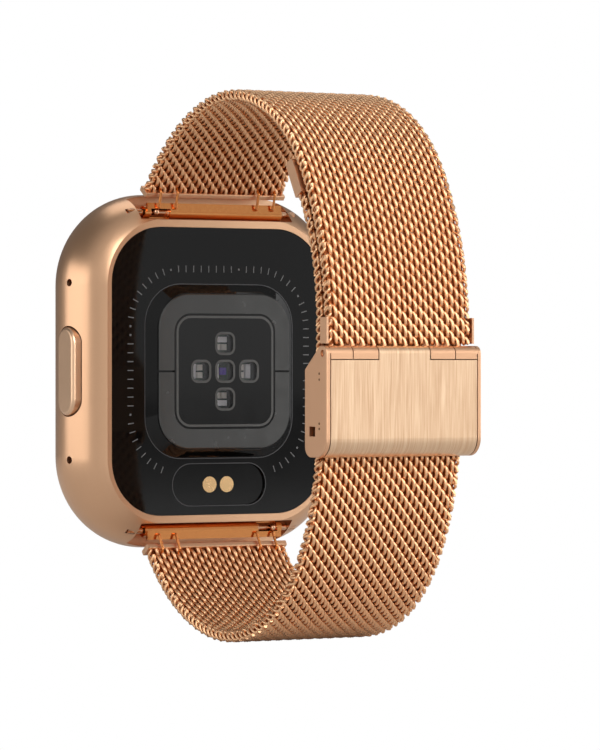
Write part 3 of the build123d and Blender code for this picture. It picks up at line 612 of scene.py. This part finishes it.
def mark_tree():
    """Short printed strokes round the sensor, with a dot in place of every ninth stroke."""
    tree = new_geometry_tree("printed_marks", ("Width", "Length", "Corner", "Mark Spacing",
                                               "Stroke Width", "Stroke Length", "Thickness",
                                               "Recess Top", "Recess Half Width"))
    given = add_node(tree, "NodeGroupInput").outputs
    path = rounded_path(tree, given["Width"], given["Length"], given["Corner"])
    spaced = add_node(tree, "GeometryNodeResampleCurve",
                      [("Curve", path), ("Length", given["Mark Spacing"])], mode="LENGTH")
    points = add_node(tree, "GeometryNodeCurveToPoints", [("Curve", spaced.outputs["Curve"])],
                      mode="EVALUATED")
    stroke_size = add_node(tree, "ShaderNodeCombineXYZ",
                           [("X", given["Stroke Width"]), ("Y", given["Thickness"]),
                            ("Z", given["Stroke Length"])])
    stroke = add_node(tree, "GeometryNodeMeshCube", [("Size", stroke_size.outputs["Vector"])])
    # no marks run into the recess of the charging contacts
    position = add_node(tree, "GeometryNodeInputPosition")
    place = add_node(tree, "ShaderNodeSeparateXYZ", [("Vector", position.outputs["Position"])])
    below = add_node(tree, "ShaderNodeMath", [(0, place.outputs["Z"]), (1, given["Recess Top"])],
                     operation="LESS_THAN")
    from_middle = add_node(tree, "ShaderNodeMath", [(0, place.outputs["X"])],
                           operation="ABSOLUTE")
    beside = add_node(tree, "ShaderNodeMath",
                      [(0, from_middle.outputs["Value"]), (1, given["Recess Half Width"])],
                      operation="LESS_THAN")
    in_recess = add_node(tree, "ShaderNodeMath",
                         [(0, below.outputs["Value"]), (1, beside.outputs["Value"])],
                         operation="MULTIPLY")
    clear = add_node(tree, "ShaderNodeMath", [(0, 1.0), (1, in_recess.outputs["Value"])],
                     operation="SUBTRACT")
    index = add_node(tree, "GeometryNodeInputIndex").outputs["Index"]
    place_in_run = add_node(tree, "ShaderNodeMath", [(0, index), (1, marks_per_dot)],
                            operation="MODULO")
    is_dot = add_node(tree, "ShaderNodeMath", [(0, place_in_run.outputs["Value"]), (1, 0.5)],
                      operation="LESS_THAN").outputs["Value"]
    direction = add_node(tree, "ShaderNodeSeparateXYZ",
                         [("Vector", points.outputs["Tangent"])]).outputs
    slope = add_node(tree, "ShaderNodeMath", [(0, direction["X"]), (1, direction["Z"])],
                     operation="ARCTAN2")
    outward = add_node(tree, "ShaderNodeMath", [(0, slope.outputs["Value"]), (1, pi / 2)],
                       operation="ADD")
    rotation = add_node(tree, "ShaderNodeCombineXYZ", [("Y", outward.outputs["Value"])])
    spin = add_node(tree, "FunctionNodeEulerToRotation", [("Euler", rotation.outputs["Vector"])])
    wide = add_node(tree, "ShaderNodeMath", [(0, is_dot), (1, dot_width - 1.0), (2, 1.0)],
                    operation="MULTIPLY_ADD")
    long = add_node(tree, "ShaderNodeMath", [(0, is_dot), (1, dot_length - 1.0), (2, 1.0)],
                    operation="MULTIPLY_ADD")
    size = add_node(tree, "ShaderNodeCombineXYZ",
                    [("X", wide.outputs["Value"]), ("Y", 1.0), ("Z", long.outputs["Value"])])
    marks = add_node(tree, "GeometryNodeInstanceOnPoints",
                     [("Points", points.outputs["Points"]), ("Selection", clear.outputs["Value"]),
                      ("Instance", stroke.outputs["Mesh"]), ("Rotation", spin.outputs["Rotation"]),
                      ("Scale", size.outputs["Vector"])])
    ring = add_node(tree, "GeometryNodeInstanceOnPoints",
                    [("Points", given["Geometry"]), ("Instance", marks.outputs["Instances"])])
    finish_tree(tree, ring.outputs["Instances"], print_grey, smooth=False)
    return tree


def weld_tree():
    """A flat round spot facing the button's side, at each of the given places."""
    tree = new_geometry_tree("spot_weld", ("Weld Radius", "Weld Height"))
    given = add_node(tree, "NodeGroupInput").outputs
    spot = add_node(tree, "GeometryNodeMeshCylinder",
                    [("Radius", given["Weld Radius"]), ("Depth", given["Weld Height"]),
                     ("Vertices", weld_sides)])
    spots = add_node(tree, "GeometryNodeInstanceOnPoints",
                     [("Points", given["Geometry"]), ("Instance", spot.outputs["Mesh"]),
                      ("Rotation", (0.0, pi / 2, 0.0))])
    finish_tree(tree, spots.outputs["Instances"], weld_gold, smooth=False)
    return tree


window_low, window_high = low_high("sensor_window")
face_y = window_high.y
border_width = 0.3 * MM
border_height = 0.03 * MM
window_inset = 2.5 * border_width
window_corner = 1.9 * MM
aperture_size = 2.75 * MM
aperture_spacing = 3.48 * MM
aperture_corner = 0.8 * MM
rim_size = aperture_size - 0.5 * border_width
middle = (0.0, face_y, 0.0)
cross = [middle] + [(x * aperture_spacing, face_y, z * aperture_spacing)
                    for x, z in ((1, 0), (-1, 0), (0, 1), (0, -1))]
border = border_tree("border", border_grey)
grow_at("window_border", [middle], border,
        {"Width": window_high.x - window_low.x - window_inset,
         "Length": window_high.z - window_low.z - window_inset, "Corner": window_corner,
         "Border Width": border_width, "Border Height": border_height}, "case")
grow_at("aperture_borders", cross, border,
        {"Width": rim_size, "Length": rim_size, "Corner": aperture_corner,
         "Border Width": border_width, "Border Height": border_height}, "case")

# painted highlights: flat lighter strips along the edges of the cover's recess and of its raised
# middle:
# name, width, length, corner radius and height above the middle, in millimetres
cover_edge_highlights = (("recess_edge_highlight", 13.6, 5.3, 2.6, -14.2), ("raised_edge_highlight", 21.5, 21.8, 5.1, 0.0))
highlight_width = 0.12 * MM
cover_y = low_high("case_frame")[1].y
# the strips are flat and only coloured lighter, as painted highlights
edge = border_tree("edge_highlight", edge_highlight_grey)
for name, width, length, corner, z in cover_edge_highlights:
    grow_at(name, [(0.0, cover_y, z * MM)], edge,
            {"Width": width * MM, "Length": length * MM, "Corner": corner * MM,
             "Border Width": highlight_width, "Border Height": border_height}, "case")

# the ring of marks, and the part of it that the contacts' recess leaves out
bump_width = 21.3 * MM
mark_gap = 2.15 * MM
ring_width = bump_width + 2 * mark_gap
mark_sizes = {"Width": ring_width, "Length": ring_width, "Corner": 7.2 * MM,
              "Mark Spacing": 1.1 * MM, "Stroke Width": 0.13 * MM, "Stroke Length": 0.85 * MM,
              "Thickness": 0.012 * MM, "Recess Top": -11.0 * MM, "Recess Half Width": 7.6 * MM}
grow_at("printed_marks", [(0.0, cover_y, 0.0)], mark_tree(), mark_sizes, "case")

# two pairs of spot welds on the cheek on the button's side
cheek_x = low_high("clasp_body")[1].x
weld_y = 39.35 * MM
weld_heights = (-0.2 * MM, -0.9 * MM, -6.0 * MM, -6.6 * MM)
grow_at("spot_welds", [(cheek_x, weld_y, z) for z in weld_heights], weld_tree(),
        {"Weld Radius": 0.15 * MM, "Weld Height": 0.02 * MM}, "clasp")


# ---- camera, lights and stage ----
def look_from(place, back, name, lens):
    """A camera at a place, looking along -back with +Z up."""
    camera = bpy.data.objects.new(name, bpy.data.cameras.new(name))
    camera.location = place
    camera.rotation_euler = Vector(back).to_track_quat("Z", "Y").to_euler()
    camera.data.lens = lens
    camera.data.sensor_width = 36.0
    camera.data.clip_start = 0.01
    bpy.context.scene.collection.objects.link(camera)
    return camera


view_turn = radians(31.84)
view_rise = radians(0.16)
view_place = (263.54 * MM, 442.13 * MM, 0.97 * MM)
view_back = (sin(view_turn) * cos(view_rise), cos(view_turn) * cos(view_rise), sin(view_rise))
lens_mm = 197.28
camera = look_from(view_place, view_back, "camera", lens_mm)
bpy.context.scene.camera = camera

aim = Vector((0.0, 15 * MM, 0.0))


def softbox(name, turn, rise, distance, size, radiance):
    """A soft rectangular light aimed at the watch.

    turn is in degrees from +X towards +Y, rise in degrees above the floor, distance and
    size in metres, and radiance is how bright its face looks.
    """
    turn, rise = radians(turn), radians(rise)
    away = Vector((cos(turn) * cos(rise), sin(turn) * cos(rise), sin(rise)))
    light = bpy.data.lights.new(name, "AREA")
    light.shape = "RECTANGLE"
    light.size, light.size_y = size
    light.energy = radiance * pi * size[0] * size[1]
    holder = bpy.data.objects.new(name, light)
    holder.location = aim + away * distance
    holder.rotation_euler = away.to_track_quat("Z", "Y").to_euler()
    bpy.context.scene.collection.objects.link(holder)


softbox("left_box", -19, 1, 0.5, (0.56, 0.36), 1.35)
softbox("camera_box", 72, 30, 0.8, (0.5, 0.5), 3.2)
softbox("top_box", -122, 62, 0.5, (0.4, 0.3), 1.0)
softbox("right_box", 158, 4, 0.6, (0.5, 0.6), 2.6)
softbox("front_box", 98, 10, 0.5, (0.14, 0.34), 4.5)

# a sheet of white paper that the camera sees as plain white
floor_z = cad_box[0][2]
floor_mesh = bpy.data.meshes.new("floor")
reach = 3.0
floor_mesh.from_pydata([(-reach, -reach, floor_z), (reach, -reach, floor_z),
                        (reach, reach, floor_z), (-reach, reach, floor_z)], [], [(0, 1, 2, 3)])
floor = bpy.data.objects.new("floor", floor_mesh)
bpy.context.scene.collection.objects.link(floor)
paper, paper_tree, paper_shader = new_material(
    "white_paper", roughness=0.9, Base_Color=srgb("#cccccc"), Emission_Color=srgb("#ffffff"),
    Emission_Strength=0.05)
glow = add_node(paper_tree, "ShaderNodeEmission", [("Strength", 1.0)])
paper_seen = add_node(paper_tree, "ShaderNodeLightPath")
paper_mix = add_node(paper_tree, "ShaderNodeMixShader",
                     [(0, paper_seen.outputs["Is Camera Ray"]), (1, paper_shader.outputs["BSDF"]),
                      (2, glow.outputs["Emission"])])
paper_tree.links.new(paper_mix.outputs["Shader"],
                     paper_tree.nodes["Material Output"].inputs["Surface"])
floor_mesh.materials.append(paper)

# the room: brighter on the camera's side, and plain white where the camera sees it
world = bpy.data.worlds.new("studio")
bpy.context.scene.world = world
world.use_nodes = True
sky = world.node_tree
sky.nodes.clear()
direction = add_node(sky, "ShaderNodeTexCoord")
parts = add_node(sky, "ShaderNodeSeparateXYZ", [("Vector", direction.outputs["Generated"])])
rise = add_node(sky, "ShaderNodeMapRange", [("Value", parts.outputs["Y"]),
                 ("From Min", -0.3), ("From Max", 0.6), ("To Min", 0.2), ("To Max", 0.75)])
studio = add_node(sky, "ShaderNodeBackground", [("Strength", rise.outputs["Result"])])
backdrop = add_node(sky, "ShaderNodeBackground",
                    [("Color", srgb("#ffffff")), ("Strength", 1.0)])
seen = add_node(sky, "ShaderNodeLightPath")
blend = add_node(sky, "ShaderNodeMixShader", [(0, seen.outputs["Is Camera Ray"]),
                                              (1, studio.outputs["Background"]),
                                              (2, backdrop.outputs["Background"])])
add_node(sky, "ShaderNodeOutputWorld", [("Surface", blend.outputs["Shader"])])
bpy.context.scene.view_settings.view_transform = "Standard"
